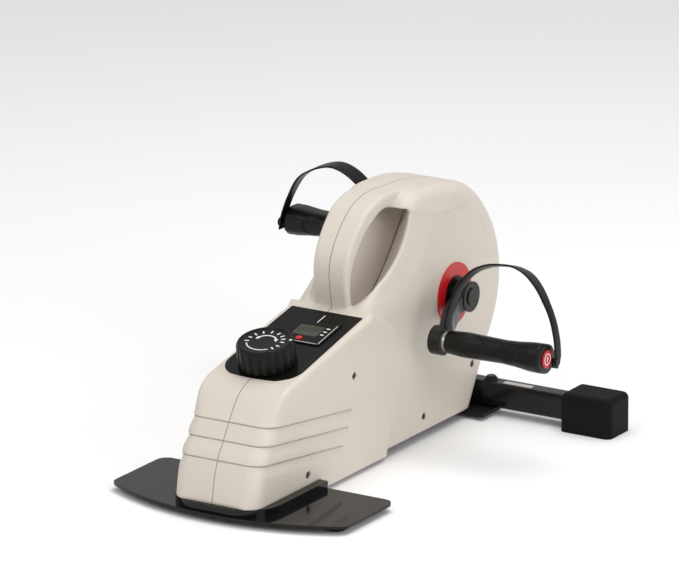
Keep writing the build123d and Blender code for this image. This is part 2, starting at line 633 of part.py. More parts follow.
def main():
    right = casing_right()
    save(right, "casing_right")
    left = mirrored(casing_right())
    save(left, "casing_left")
    save(casing_screws(), "casing_screws")
    save(base_plate(), "base_plate")
    save(plate_bolts(), "plate_bolts")
    save(plate_pad(), "plate_pad_right")
    save(mirrored(plate_pad()), "plate_pad_left")
    save(main_frame(), "main_frame")
    save(side_plate() + pin_holder(), "side_plate_right")
    save(mirrored(side_plate()), "side_plate_left")
    save(rear_tube(), "rear_tube")
    save(end_cap(), "end_cap_right")
    save(mirrored(end_cap()), "end_cap_left")
    save(stabilizer_bolts(), "stabilizer_bolts")
    save(crank_bearing(), "crank_bearing_right")
    save(mirrored(crank_bearing()), "crank_bearing_left")
    save(crank_axle(), "crank_axle")
    save(drive_pulley(), "drive_pulley")
    save(drive_belt(), "drive_belt")
    save(flywheel(), "flywheel")
    save(flywheel_pulley(), "flywheel_pulley")
    save(flywheel_bearings(), "flywheel_bearings")
    save(flywheel_axle(), "flywheel_axle")
    save(magnet_bracket(), "magnet_bracket")
    save(brake_magnets(), "brake_magnets")
    save(bracket_pin(), "bracket_pin")
    save(return_spring(), "return_spring")
    save(sensor_magnet(), "sensor_magnet")
    save(speed_sensor(), "speed_sensor")
    save_side(crank_arm(), "crank")
    save_side(crank_cap(), "crank_cap")
    save_side(Pos(0, CRANK_R, 0) * pedal_spindle(), "pedal_spindle")
    save_pedal(pedal_body(), pedal_body(), "pedal")
    save_pedal(pedal_badge(), pedal_badge(), "pedal_badge")
    save_pedal(strap_peg(), strap_peg(), "strap_peg")
    save_pedal(pedal_strap(RIGHT_LEAN), pedal_strap(LEFT_LEAN), "pedal_strap")
    save(trim_ring(), "trim_ring_right")
    save(mirrored(trim_ring()), "trim_ring_left")
    save(hub_cover(), "hub_cover_right")
    save(mirrored(hub_cover()), "hub_cover_left")
    save(console_panel(), "console_panel")
    save(monitor_housing(), "monitor_housing")
    save(lcd_module(), "lcd_module")
    save(monitor_lens(), "monitor_lens")
    save(monitor_button(), "monitor_button")
    save(tension_knob(), "tension_knob")
    save(knob_cap(), "knob_cap")
    save(knob_shaft(), "knob_shaft")
    save(tension_housing(), "tension_housing")
    save(tension_cable(), "tension_cable")


main()
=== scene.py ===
# %% [markdown]
# # A pedal exerciser, piece by piece
# The machine is already there as a measured frame of plain solids. This lesson gives it its looks:
# a moulded casing, sculpted grips, rubber straps, a printed console, and a finish for every piece.
# The frame is in metres, with +Z up and the user sitting towards -Y. New shapes are written in
# millimetres, which is how such parts are drawn, and turned into metres when their mesh is made.

# %% Load the frame and note its size
import json
import math
import bpy
import numpy as np
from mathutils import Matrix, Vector


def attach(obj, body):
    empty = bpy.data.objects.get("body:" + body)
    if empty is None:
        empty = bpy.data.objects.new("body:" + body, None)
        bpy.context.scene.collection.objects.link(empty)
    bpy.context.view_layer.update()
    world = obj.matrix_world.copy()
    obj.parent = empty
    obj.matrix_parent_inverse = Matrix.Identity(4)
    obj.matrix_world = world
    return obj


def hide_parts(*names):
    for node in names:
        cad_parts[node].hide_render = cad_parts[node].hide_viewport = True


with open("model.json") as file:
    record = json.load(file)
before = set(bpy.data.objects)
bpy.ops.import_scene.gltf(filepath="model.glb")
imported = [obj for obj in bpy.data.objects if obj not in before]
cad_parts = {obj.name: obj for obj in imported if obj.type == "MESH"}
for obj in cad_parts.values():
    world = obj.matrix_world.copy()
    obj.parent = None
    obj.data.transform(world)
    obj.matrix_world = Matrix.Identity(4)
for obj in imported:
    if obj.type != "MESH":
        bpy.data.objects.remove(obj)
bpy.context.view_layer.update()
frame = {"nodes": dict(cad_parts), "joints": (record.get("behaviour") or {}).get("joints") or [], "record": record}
MM = 0.001

# %% [markdown]
# ## From arrays to a mesh
# Every new piece ends as points and faces held in numpy arrays. One helper turns them into an object,
# gives it smooth shading with crisp edges above a chosen angle, a finish, and the body it moves with.
# Handing over whole arrays keeps it quick and leaves the formulas in plain view.

# %% A helper that makes a piece
finishes = {}


def make_piece(name, points, faces, finish, body, crease=35.0):
    """Points in millimetres and faces as rows of point numbers become one piece on a body, with the
    finish named."""
    mesh = bpy.data.meshes.new(name)
    mesh.from_pydata((points * MM).tolist(), [], faces)
    mesh.validate()
    mesh.polygons.foreach_set("use_smooth", np.ones(len(mesh.polygons), bool))
    mesh.set_sharp_from_angle(angle=math.radians(crease))
    mesh.update()
    piece = bpy.data.objects.new(name, mesh)
    bpy.context.collection.objects.link(piece)
    mesh.materials.append(finishes[finish])
    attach(piece, body)
    print(f"{name}: {len(mesh.vertices)} points, {len(mesh.polygons)} faces")
    return piece


def ring_faces(rings, around):
    """Four-sided faces between neighbouring rings, each ring running round and back to its start."""
    r = np.arange(rings - 1)[:, None]
    c = np.arange(around)[None, :]
    d = (c + 1) % around
    corners = [r * around + c, r * around + d, (r + 1) * around + d, (r + 1) * around + c]
    return np.stack(corners, axis=-1).reshape(-1, 4)


def loft(rings, start=0):
    """A closed skin over rings of points (rings, points, 3): four-sided faces between rings and a fan
    of triangles at each end. Point numbers begin at start, so that skins can share one mesh."""
    count, around, _ = rings.shape
    points = np.concatenate([rings.reshape(-1, 3), rings[:1].mean(axis=1), rings[-1:].mean(axis=1)])
    c = np.arange(around)
    d = (c + 1) % around
    below = (count - 1) * around
    first, last = np.full(around, count * around), np.full(around, count * around + 1)
    low = np.stack([d, c, first], axis=-1)
    high = np.stack([c + below, d + below, last], axis=-1)
    fans = np.concatenate([low, high])
    return points, (ring_faces(count, around) + start).tolist() + (fans + start).tolist()


def smooth_curve(corners, count):
    """Points on a soft curve through the corners: between two corners each coordinate is the cubic
    whose slopes are half the distance between the corners before and after (Catmull and Rom's rule)."""
    p = np.asarray(corners, float)
    p = np.concatenate([2 * p[:1] - p[1:2], p, 2 * p[-1:] - p[-2:-1]])
    spans = len(p) - 3
    t = np.linspace(0, spans, count)
    i = np.minimum(t.astype(int), spans - 1)
    u = (t - i)[:, None]
    a, b, c, d = p[i], p[i + 1], p[i + 2], p[i + 3]
    return 0.5 * (2 * b + (c - a) * u + (2 * a - 5 * b + 4 * c - d) * u**2 + (3 * b - a - 3 * c + d) * u**3)


def ramp(value, start, end):
    """0 up to start, 1 from end on, and evenly between; start may be the larger of the two."""
    return np.clip((value - start) / (end - start), 0, 1)


print("helpers ready")

# %% [markdown]
# ## Finishes
# Real plastic, paint and rubber are never one flat colour. Each finish here mixes two near colours by a
# soft noise, lets a second noise move the roughness a little, and adds a very fine bump for the grain of
# the mould or the spray. Noise on Object coordinates is in metres, so each scale is chosen against the
# real grain: 900 gives spots of about a millimetre.

# %% A helper for grained finishes
def grained(name, dark, light, rough, spots=6.0, grain=900.0, bump=0.08, metal=0.0, shine=0.5, deep=0.0002):
    """A finish whose colour drifts between two near tones, with roughness between two values, and a
    fine bump whose height is deep metres. shine is how strongly a mirror layer reflects."""
    m = bpy.data.materials.new(name)
    m.use_nodes = True
    nodes, links = m.node_tree.nodes, m.node_tree.links
    shader = nodes["Principled BSDF"]
    where = nodes.new("ShaderNodeTexCoord")
    broad = nodes.new("ShaderNodeTexNoise")
    broad.inputs["Scale"].default_value = spots
    broad.inputs["Detail"].default_value = 4.0
    fine = nodes.new("ShaderNodeTexNoise")
    fine.inputs["Scale"].default_value = grain
    fine.inputs["Detail"].default_value = 2.0
    tone = nodes.new("ShaderNodeValToRGB")
    tone.color_ramp.elements[0].position = 0.3
    tone.color_ramp.elements[0].color = (*dark, 1)
    tone.color_ramp.elements[1].position = 0.7
    tone.color_ramp.elements[1].color = (*light, 1)
    spread = nodes.new("ShaderNodeMapRange")
    spread.inputs["To Min"].default_value = rough[0]
    spread.inputs["To Max"].default_value = rough[1]
    height = nodes.new("ShaderNodeBump")
    height.inputs["Strength"].default_value = bump
    height.inputs["Distance"].default_value = deep
    links.new(where.outputs["Object"], broad.inputs["Vector"])
    links.new(where.outputs["Object"], fine.inputs["Vector"])
    links.new(broad.outputs["Fac"], tone.inputs["Fac"])
    links.new(tone.outputs["Color"], shader.inputs["Base Color"])
    links.new(fine.outputs["Fac"], spread.inputs["Value"])
    links.new(spread.outputs["Result"], shader.inputs["Roughness"])
    links.new(fine.outputs["Fac"], height.inputs["Height"])
    links.new(height.outputs["Normal"], shader.inputs["Normal"])
    shader.inputs["Metallic"].default_value = metal
    shader.inputs["Specular IOR Level"].default_value = shine
    finishes[name] = m
    return m


grained("gloss_steel", (0.004, 0.004, 0.004), (0.007, 0.007, 0.007), (0.07, 0.13),
        grain=420, bump=0.04, shine=0.25)
grained("frame_steel", (0.008, 0.008, 0.008), (0.013, 0.013, 0.013), (0.35, 0.5), shine=0.2)
grained("rubber", (0.004, 0.004, 0.004), (0.008, 0.008, 0.007), (0.5, 0.66),
        grain=1400, bump=0.22, shine=0.1)
grained("strap_rubber", (0.004, 0.004, 0.004), (0.007, 0.007, 0.006), (0.3, 0.42),
        grain=1400, bump=0.12, shine=0.15)
grained("pedal_plastic", (0.004, 0.004, 0.004), (0.008, 0.008, 0.006), (0.24, 0.38),
        grain=1600, bump=0.2, shine=0.2)
grained("console_black", (0.003, 0.003, 0.003), (0.006, 0.006, 0.005), (0.22, 0.34),
        grain=1300, bump=0.10, shine=0.12)
grained("knob_black", (0.004, 0.004, 0.004), (0.008, 0.008, 0.006), (0.28, 0.42),
        grain=1500, bump=0.15, shine=0.18)
grained("crank_black", (0.006, 0.006, 0.005), (0.012, 0.011, 0.009), (0.28, 0.4),
        grain=700, bump=0.05, shine=0.25)
grained("trim_red", (0.50, 0.006, 0.010), (0.60, 0.010, 0.014), (0.30, 0.42), bump=0.06)
grained("print_white", (0.70, 0.70, 0.69), (0.80, 0.80, 0.79), (0.45, 0.6), bump=0.02)
grained("label_grey", (0.42, 0.40, 0.38), (0.48, 0.46, 0.44), (0.4, 0.55), bump=0.02)
grained("display", (0.045, 0.070, 0.008), (0.065, 0.092, 0.014), (0.25, 0.35), spots=30, bump=0.02)
grained("inner_plastic", (0.05, 0.05, 0.055), (0.08, 0.08, 0.085), (0.4, 0.55))
grained("bright_steel", (0.45, 0.45, 0.46), (0.58, 0.58, 0.59), (0.22, 0.36), metal=1.0, bump=0.05)
grained("wheel_iron", (0.20, 0.20, 0.21), (0.28, 0.28, 0.29), (0.4, 0.6), metal=1.0, bump=0.3)
print(len(finishes), "finishes")

# %% [markdown]
# The monitor's window is clear. A thin pane reads as glass when its shader lets light through and keeps
# a sharp reflection.

# %% Clear lens
lens = grained("lens", (0.92, 0.94, 0.92), (0.97, 0.98, 0.97), (0.02, 0.06), bump=0.01)
lens.node_tree.nodes["Principled BSDF"].inputs["Transmission Weight"].default_value = 1.0
lens.node_tree.nodes["Principled BSDF"].inputs["IOR"].default_value = 1.45
print("lens is clear")

# %% [markdown]
# ## The casing's finish
# The casing is one warm off-white plastic. Three laps run round its nose, and its two halves meet in a
# seam. The laps themselves are part of the shape further down. What the finish adds is the sharp line
# at the top of each, finer than the casing's points can follow: a thin band about the slanting plane
# height = start + slope * Y, stopped at its end along Y, pressed in by the bump and darkened by painted
# shade that stands for the shadow in the groove. The seam is a finer band about X = 0, with the same
# pressed line and painted shade.

# %% Casing finish with its lines
GROOVES = [(65.3, -0.131, -63.2), (47.5, -0.130, -70.5), (29.5, -0.126, -81.5)]
LINE_REACH, SEAM_REACH, SOFT_END = 0.9 * MM, 0.5 * MM, 3 * MM
casing_finish = grained("casing_shell", (0.625, 0.565, 0.490), (0.655, 0.597, 0.522), (0.40, 0.54),
                        spots=5, grain=1100, bump=0.10)


def add_math(nodes, links, how, a, b=None, c=None):
    """One Math node; each input is a number or another node's output."""
    node = nodes.new("ShaderNodeMath")
    node.operation = how
    for socket, value in zip(node.inputs, (a, b, c)):
        if value is None:
            continue
        if isinstance(value, (int, float)):
            socket.default_value = value
        else:
            links.new(value, socket)
    return node.outputs[0]


def press_lines(m, grooves):
    """Depth is 1 on each groove's plane and on the seam, and falls to 0 at one reach from it; a
    groove fades out over its soft end. Depth darkens the colour as painted shade, standing for the
    shadow in the grooves and the seam, and presses the surface in."""
    nodes, links = m.node_tree.nodes, m.node_tree.links
    shader = nodes["Principled BSDF"]
    split = nodes.new("ShaderNodeSeparateXYZ")
    links.new(nodes["Texture Coordinate"].outputs["Object"], split.inputs[0])
    x, y, z = split.outputs
    off = add_math(nodes, links, "ABSOLUTE", x)
    total = add_math(nodes, links, "MULTIPLY_ADD", off, -1 / SEAM_REACH, 1.0)
    for height, slope, end in grooves:
        off = add_math(nodes, links, "MULTIPLY_ADD", y, -slope, -height * MM)
        off = add_math(nodes, links, "ADD", z, off)
        off = add_math(nodes, links, "ABSOLUTE", off)
        depth = add_math(nodes, links, "MULTIPLY_ADD", off, -1 / LINE_REACH, 1.0)
        depth = add_math(nodes, links, "MAXIMUM", depth, 0.0)
        reach = add_math(nodes, links, "MULTIPLY_ADD", y, -1 / SOFT_END, end * MM / SOFT_END)
        reach = add_math(nodes, links, "MINIMUM", reach, 1.0)
        reach = add_math(nodes, links, "MAXIMUM", reach, 0.0)
        depth = add_math(nodes, links, "MULTIPLY", depth, reach)
        total = add_math(nodes, links, "MAXIMUM", total, depth)
    # Painted shade: along the grooves and the seam the colour is multiplied towards a dark brown-grey, standing in
    # for the shadow in them.
    painted_groove_shade = nodes.new("ShaderNodeMix")
    painted_groove_shade.data_type = "RGBA"
    painted_groove_shade.blend_type = "MULTIPLY"
    links.new(add_math(nodes, links, "MULTIPLY", total, 0.55), painted_groove_shade.inputs["Factor"])
    links.new(nodes["Color Ramp"].outputs["Color"], painted_groove_shade.inputs["A"])
    painted_groove_shade.inputs["B"].default_value = (0.35, 0.33, 0.30, 1)
    links.new(painted_groove_shade.outputs["Result"], shader.inputs["Base Color"])
    press = nodes.new("ShaderNodeBump")
    press.invert = True
    press.inputs["Strength"].default_value = 0.9
    press.inputs["Distance"].default_value = 1.2 * MM
    links.new(total, press.inputs["Height"])
    links.new(nodes["Bump"].outputs["Normal"], press.inputs["Normal"])
    links.new(press.outputs["Normal"], shader.inputs["Normal"])


press_lines(casing_finish, GROOVES)
print("casing finish has", len(GROOVES), "lines and a seam")

# %% [markdown]
# ## The casing's shape
# The casing is a rounded disc, a wider wedge-shaped nose, and a handle that grows out of both. Lofting
# that by hand is hard, because the handle leaves a hole through it. So the shape is written as a
# distance field: a formula that tells, for any point in space, how far outside (positive) or inside
# (negative) the plastic it is. Fields are easy to join, round and cut, and one routine then wraps a net
# of faces round the place where the field is zero. Its side outlines come first, as (Y, Z) places.

# %% Side outlines
CRANK_Y, CRANK_Z, DISC_R = 143.15, 142.6, 115.2
SIDE_X, NOSE_X, WALL = 45.3, 49.8, 3.0
CELL = 1.85


def disc_arc(start, end, count):
    """Points on the disc's rim between two angles in degrees."""
    a = np.radians(np.linspace(start, end, count))
    return np.stack([CRANK_Y + DISC_R * np.cos(a), CRANK_Z + DISC_R * np.sin(a)], axis=-1)


crest = smooth_curve([(152, 257.3), (129, 262), (100, 265.5), (76, 264.5), (61, 254), (53, 232), (36, 210),
                      (2, 190), (-18, 174.5), (-25, 165.5), (-29.5, 160.6), (-38, 158.6), (-46, 156.9)], 110)
front = smooth_curve([(-180.6, 127.4), (-199.5, 117), (-217, 95), (-227, 78.5), (-238, 62), (-245, 41),
                      (-249.5, 17)], 40)
body_outline = np.concatenate([disc_arc(-34.8, 85.4, 90), crest, front, [(-252, -30), (163, -30)]])
nose_area = np.array([(-300, -40), (-6, -40), (11, 22), (29, 53), (38, 75), (40, 108), (20, 140),
                      (-40, 175), (-300, 175)])
seam = smooth_curve([(129, 245), (106, 214), (84, 187), (60, 164), (36, 148.5), (12, 146), (-5, 150.5),
                     (-17, 157.5), (-26, 162.8)], 60)
scoop_outline = np.concatenate([seam, [(-30, 330), (149, 330)]])
handle_top = smooth_curve([(-19, 152), (-23, 163), (-28, 195), (-26, 214), (-17, 231), (-2, 248), (16, 261),
                           (43, 268.2), (75, 267.6), (104, 266.4), (129, 263), (150, 257.8), (178, 250)], 70)
handle_under = smooth_curve([(178, 238), (150, 236), (128, 236), (100, 240), (66, 250.5), (40, 253),
                             (14, 240), (-1, 225), (-13, 208), (-17, 192), (-16, 172), (-10, 156),
                             (-4, 148)], 60)
handle_outline = np.concatenate([handle_top, handle_under])
print(len(body_outline), "points round the body")

# %% [markdown]
# A side outline is flat, so its distances are worked out once on a fine sheet of Y and Z and looked up
# later. The nearest edge gives the size; whether a line drawn towards +Y crosses the outline an odd
# number of times gives the sign.

# %% Distance to an outline
SHEET_Y = np.arange(-275.0, 285.0, 1.0)
SHEET_Z = np.arange(-12.0, 292.0, 1.0)


def distance_sheet(outline):
    """For every point of the sheet: the distance to the nearest edge of the outline, negative inside."""
    y, z = np.meshgrid(SHEET_Y, SHEET_Z, indexing="ij")
    nearest = np.full(y.shape, 1e9)
    odd = np.zeros(y.shape, bool)
    for (y0, z0), (y1, z1) in zip(outline, np.roll(outline, -1, axis=0)):
        ey, ez = y1 - y0, z1 - z0
        t = np.clip(((y - y0) * ey + (z - z0) * ez) / max(ey * ey + ez * ez, 1e-9), 0, 1)
        nearest = np.minimum(nearest, (y - y0 - t * ey) ** 2 + (z - z0 - t * ez) ** 2)
        rise = ez if abs(ez) > 1e-9 else 1.0
        odd ^= ((z0 <= z) != (z1 <= z)) & (y < y0 + (z - z0) / rise * ey)
    return np.where(odd, -1, 1) * np.sqrt(nearest)


def look_up(sheet, y, z):
    """The sheet's value at any points, blended from the four around each."""
    u = np.clip(y - SHEET_Y[0], 0, len(SHEET_Y) - 1.001)
    v = np.clip(z - SHEET_Z[0], 0, len(SHEET_Z) - 1.001)
    i, j = u.astype(int), v.astype(int)
    u, v = u - i, v - j
    near = sheet[i, j] * (1 - v) + sheet[i, j + 1] * v
    far = sheet[i + 1, j] * (1 - v) + sheet[i + 1, j + 1] * v
    return near * (1 - u) + far * u


body_sheet, area_sheet, scoop_sheet, handle_sheet = map(
    distance_sheet, (body_outline, nose_area, scoop_outline, handle_outline))
print("sheets of", body_sheet.shape)

# %% [markdown]
# Two fields joined by a plain smaller-of or larger-of meet in a knife edge, which no mould makes. The
# two joins here round that edge: one for what is inside both shapes, one for what is inside either.

# %% Ways to join fields
def rounded_both(a, b, r):
    """Inside both, with the edge between them rounded by r: the larger of the two distances, except
    that near the edge it is r less than how far the point is from the edge's centre line."""
    corner = np.hypot(np.maximum(a + r, 0), np.maximum(b + r, 0)) - r
    return np.where((a > -r) & (b > -r), corner, np.maximum(a, b))


def soft_either(a, b, k):
    """Inside either: the smaller of the two distances, less a share of k that is a quarter where
    they are equal and fades to nothing where they differ by k, which leaves a fillet."""
    h = np.clip(0.5 + 0.5 * (b - a) / k, 0, 1)
    return b + (a - b) * h - k * h * (1 - h)


print("joins ready")

# %% [markdown]
# A hand goes under the handle through a scoop. On the middle plane the scoop is deep and follows the
# seam line; at each side it only just dips under the crest. In between, its half width grows in
# proportion to the way already gone from the seam towards the crest, so its walls run straight from one
# line to the other, like a shallow V. The handle itself is a narrow band, and over the top of the disc
# it tapers off to a point. Each feature has its own formula, and one function joins them.

# %% The casing as one field
SCOOP_HALF = 43.0
LAP_DEPTH, LAP_HEIGHT = 2.4, 11
FACET_REACH, FACET_LEAN = 40, 0.16
ARC_Y, ARC_Z, ARC_R = 142, 165.5, 68.5
ROOF_START = 57
KNOB_AT = (0.0, -145.0)
SIDE_HOLES = [(CRANK_Y, CRANK_Z, 19.6), (-148.2, 27.5, 3.9), (-59.7, 108.1, 3.9), (85.3, 25.3, 3.9),
              (183.0, 56.0, 3.9)]
HOLE_START = 25
SEAM_GAP = 0.05


def facet(inward, y, z):
    """How far the disc's side leans in near its upper rim: a fixed share of the reach at the rim, and
    evenly less down to nothing one reach inside it. The reach shrinks away towards the rear."""
    reach = FACET_REACH * np.maximum(ramp(y, 152, 100), 0.02)
    return FACET_LEAN * reach * np.clip(1 - inward / reach, 0, 1) * ramp(z, 150, 175)


def lap(y, z, height, slope, end):
    """How far one lap sinks into the nose: nearly its full depth just under the slanting plane, and
    evenly less down to nothing one lap height below it. It stops at its end along Y."""
    t = height + slope * y - z
    return LAP_DEPTH * (np.clip(1 - t / LAP_HEIGHT, 0, 1) * ramp(t, -0.9, 0.9) * ramp(y, end, end - 3))


def scoop_field(x, y, z, inward):
    """Distance outside the scoop. Its half width is the full one times the way gone from the seam,
    over that way plus what is left to the crest; the root turns a sideways distance into one
    square to the slanting wall."""
    gone = -look_up(scoop_sheet, y, z)
    across = np.maximum(np.maximum(gone, 0) + inward, 1.0)
    return (x - SCOOP_HALF * gone / across) / np.sqrt(1 + (SCOOP_HALF / across) ** 2)


def handle_half(y, z):
    """Half the handle's width: a little more towards its top, then tapering off along the disc."""
    by_height = np.interp(z, [150, 205, 232, 262], [19.5, 20, 21, 22.5])
    return np.minimum(by_height, np.interp(y, [-60, 100, 165, 178], [60, 22.5, 2, 0.5]))


def arc_mark(x, y, z):
    """A shallow arc pressed into the disc's side: a bell curve of the distance to a circle, kept to
    about the circle's upper rear quarter."""
    off = np.hypot(y - ARC_Y, z - ARC_Z) - ARC_R
    return 0.9 * (np.exp(-((off / 1.8) ** 2)) * ramp(y, 140, 144) * ramp(z, 156, 162) * (x > 40))


def outer_field(x, y, z):
    """Distance outside the casing as if it were solid: disc and nose, less the scoop, with the roof
    and the handle joined on by fillets, then cut level underneath. The roof is the part of the disc
    that lies within the handle's outline and behind the roof's start."""
    x = np.abs(x)
    body = look_up(body_sheet, y, z)
    inward = np.maximum(-body, 0)
    disc = rounded_both(body, x - SIDE_X + facet(inward, y, z), 12 + 18 * ramp(y, 150, 220))
    bow = 5 + 11 * ramp(y, -150, -190) * ramp(z, 122, 97)
    nose = rounded_both(np.maximum(body, look_up(area_sheet, y, z)), x - NOSE_X, bow)
    for groove in GROOVES:
        nose = nose + lap(y, z, *groove)
    solid = rounded_both(soft_either(disc, nose, 1.5), -scoop_field(x, y, z, inward), 3.0)
    band = look_up(handle_sheet, y, z)
    roof = np.maximum.reduce([disc, band, ROOF_START - y])
    handle = rounded_both(band, x - handle_half(y, z), 3.5)
    whole = soft_either(soft_either(solid, roof, 5.0), handle, 2.5) + arc_mark(x, y, z)
    under = np.where(y < -124, 17.0, np.where(y < 7, 4.8, 9.5))
    return rounded_both(whole, under - z, 0.8)


def casing_field(x, y, z):
    """The outer shape, less the same shape one wall further in, less the open floor, the holes for
    axle, screws, monitor and knob, and the notch for the rear tube. The wall is two millimetres
    thicker at the scoop, the front of the nose, the top and the rear rim."""
    outer = outer_field(x, y, z)
    thicker = 2.0 * ((z > 195) | (y > 175) | ((z > 138) & (y < 75)) | (y < -185))
    field = np.maximum(outer, -outer - WALL - thicker)
    floor = np.maximum.reduce([x - (SIDE_X - WALL), -218 - y, y - 194, z - 22])
    notch = np.maximum(193 - y, z - 35.8)
    module = np.maximum.reduce([np.abs(x - 8) - 22, np.abs(y + 74) - 24, 100 - z, z - 170])
    shaft = np.maximum(np.hypot(x - KNOB_AT[0], y - KNOB_AT[1]) - 11, 80 - z)
    field = np.maximum.reduce([field, -floor, -notch, -module, -shaft])
    for at_y, at_z, radius in SIDE_HOLES:
        field = np.maximum(field, -np.maximum(np.hypot(y - at_y, z - at_z) - radius, HOLE_START - x))
    return field


def half_field(x, y, z):
    """The hollow casing cut just short of the middle plane."""
    return np.maximum(casing_field(x, y, z), SEAM_GAP - x)


at_axle = outer_field(np.array([0.0]), np.array([CRANK_Y]), np.array([CRANK_Z]))
print("field at the crank axle:", round(float(at_axle[0]), 1))

# %% [markdown]
# The net is made on a grid of cubes. Each cube that the surface passes through gets one point, at the
# mean of the places where the surface cuts the cube's edges. Each grid edge that is cut gets one face
# between the four cubes round it, so the result is always closed. A last step slides every point along
# the field's slope onto the exact surface.

# %% Net on the zero of a field
def surface_net(field, low, high, step):
    """Points and four-sided faces of the closed net where the field changes sign."""
    axes = [np.arange(a, b + step, step) for a, b in zip(low, high)]
    value = field(*np.meshgrid(*axes, indexing="ij"))
    inside = value < 0
    cells = tuple(n - 1 for n in value.shape)
    total, count = np.zeros(cells + (3,)), np.zeros(cells)
    cuts = []
    for axis in range(3):
        ahead = [slice(None)] * 3
        behind = [slice(None)] * 3
        ahead[axis], behind[axis] = slice(1, None), slice(None, -1)
        a, b = value[tuple(behind)], value[tuple(ahead)]
        cut = inside[tuple(behind)] != inside[tuple(ahead)]
        part = np.where(cut, a / np.where(cut, a - b, 1), 0)
        cuts.append(cut)
        one, two = [k for k in range(3) if k != axis]
        for i in (0, 1):
            for j in (0, 1):
                window = [slice(None)] * 3
                window[one] = slice(i, i + cells[one])
                window[two] = slice(j, j + cells[two])
                c = cut[tuple(window)]
                count += c
                total[..., axis] += part[tuple(window)]
                total[..., one] += i * c
                total[..., two] += j * c
    used = count > 0
    number = np.full(cells, -1)
    number[used] = np.arange(used.sum())
    points = np.array(low) + step * (np.argwhere(used) + total[used] / count[used][:, None])
    faces = []
    for axis in range(3):
        one, two = (axis + 1) % 3, (axis + 2) % 3
        edge = np.argwhere(cuts[axis])
        edge = edge[(edge[:, one] > 0) & (edge[:, two] > 0)]
        edge = edge[(edge[:, one] < cells[one]) & (edge[:, two] < cells[two])]
        ring = []
        for i, j in ((1, 1), (0, 1), (0, 0), (1, 0)):
            at = edge.copy()
            at[:, one] -= i
            at[:, two] -= j
            ring.append(number[tuple(at.T)])
        quad = np.stack(ring, axis=-1)
        outward = inside[tuple(edge.T)]
        faces.append(np.where(outward[:, None], quad, quad[:, ::-1]))
    return points, np.concatenate(faces)


def slide_on(field, points, limit, held):
    """Two steps of each point along the field's slope, by the field's value there over the slope's
    square, never beyond limit. A held point keeps its X, so the edge along the middle plane comes
    out straight; one that starts far from the surface stays where it is."""
    probe, least, far = 0.6, 0.25, 1.1
    for _ in range(2):
        p = points.T
        value = field(*p)
        slope = []
        for axis in range(3):
            d = np.zeros((3, 1))
            d[axis] = probe
            slope.append((field(*(p + d)) - field(*(p - d))) / (2 * probe))
        slope = np.stack(slope)
        slope[0, held] = 0.0
        step = -value * slope / np.maximum((slope**2).sum(axis=0), least)
        step[:, held & (np.abs(value) > far)] = 0.0
        size = np.sqrt((step**2).sum(axis=0))
        points = points + (step * np.minimum(1, limit / np.maximum(size, 1e-9))).T
    return points


net_points, net_faces = surface_net(half_field, (-0.5 * CELL, -256, -1), (54, 264, 276), CELL)
middle = net_points[:, 0] < 0.5 * CELL
net_points[middle, 0] = SEAM_GAP
net_points = slide_on(casing_field, net_points, 0.6, middle)
print(len(net_points), "points on the right half")

# %% [markdown]
# The real casing is two mouldings screwed together, each the mirror image of the other. So the left
# half is the right one with X turned round, and its faces run the other way so that they still look out.

# %% Right and left halves
casing_right = make_piece("casing_half_right", net_points, net_faces.tolist(), "casing_shell", "chassis",
                          50)
casing_left = make_piece("casing_half_left", net_points * (-1, 1, 1), net_faces[:, ::-1].tolist(),
                         "casing_shell", "chassis", 50)
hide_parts("casing_right")
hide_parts("casing_left")

# %% [markdown]
# ## Finishes for the pieces that stay
# The plate, tube, caps, cranks and the works inside keep their measured solids. Most take the finish of
# their slot; the cranks, their caps and the screws share a brighter black. Pressed or moulded pieces get
# a small bevel, because no real edge is perfectly sharp and it is the bevel that catches the light.

# %% Dress the frame's own pieces
slots = {part["node"]: part["material_slot"] for part in frame["record"]["subparts"]}
brighter = {"crank_right", "crank_left", "crank_cap_right", "crank_cap_left", "casing_screws"}
softened = {"base_plate": 0.9, "console_panel": 0.4}
paired = {"end_cap": 0.6, "plate_pad": 0.8, "trim_ring": 0.5, "hub_cover": 0.5, "crank_cap": 0.6}
for kind, width in paired.items():
    softened |= {f"{kind}_left": width, f"{kind}_right": width}
for node, piece in frame["nodes"].items():
    piece.data.materials.clear()
    piece.data.materials.append(finishes["crank_black" if node in brighter else slots[node]])
    if node in softened:
        bevel = piece.modifiers.new("soft edge", "BEVEL")
        bevel.width = softened[node] * MM
        bevel.segments = 2
        bevel.limit_method = "ANGLE"
        bevel.angle_limit = math.radians(40)
        bevel.harden_normals = False
print(len(frame["nodes"]), "pieces dressed,", len(softened), "softened")

# %% [markdown]
# ## Pedals
# A pedal is a moulded bar with eight soft sides, waisted so that a foot finds its place, with a shallow
# figure-of-eight pressed into its front and rear. A plain extrusion can't do that, but a loft can: rings
# of points along X, each ring a rounded octagon whose depth and height change with X. Where a point's
# distance from the two circles of the eight is small, it sinks by a little over a millimetre.

# %% Pedal bars
PEDALS = {"right": ("pedal_right_spin", -18.0, False), "left": ("pedal_left_spin", 0.0, True)}
BAR_START, BAR_END = 92, 205.4
joint_at = {joint["name"]: np.array(joint["pos_m"]) / MM for joint in frame["joints"]}


def on_pedal(points, side):
    """Pedal points (X along the spindle from the middle plane, Y and Z about the spindle) tilted about
    X, turned half round for the left side, and moved to the spindle."""
    joint, tilt, turned = PEDALS[side]
    spindle = joint_at[joint]
    c, s = math.cos(math.radians(tilt)), math.sin(math.radians(tilt))
    x, y, z = np.moveaxis(points, -1, 0)
    if turned:
        x, y = -x, -y
    return np.stack([x, c * y - s * z + spindle[1], s * y + c * z + spindle[2]], axis=-1)


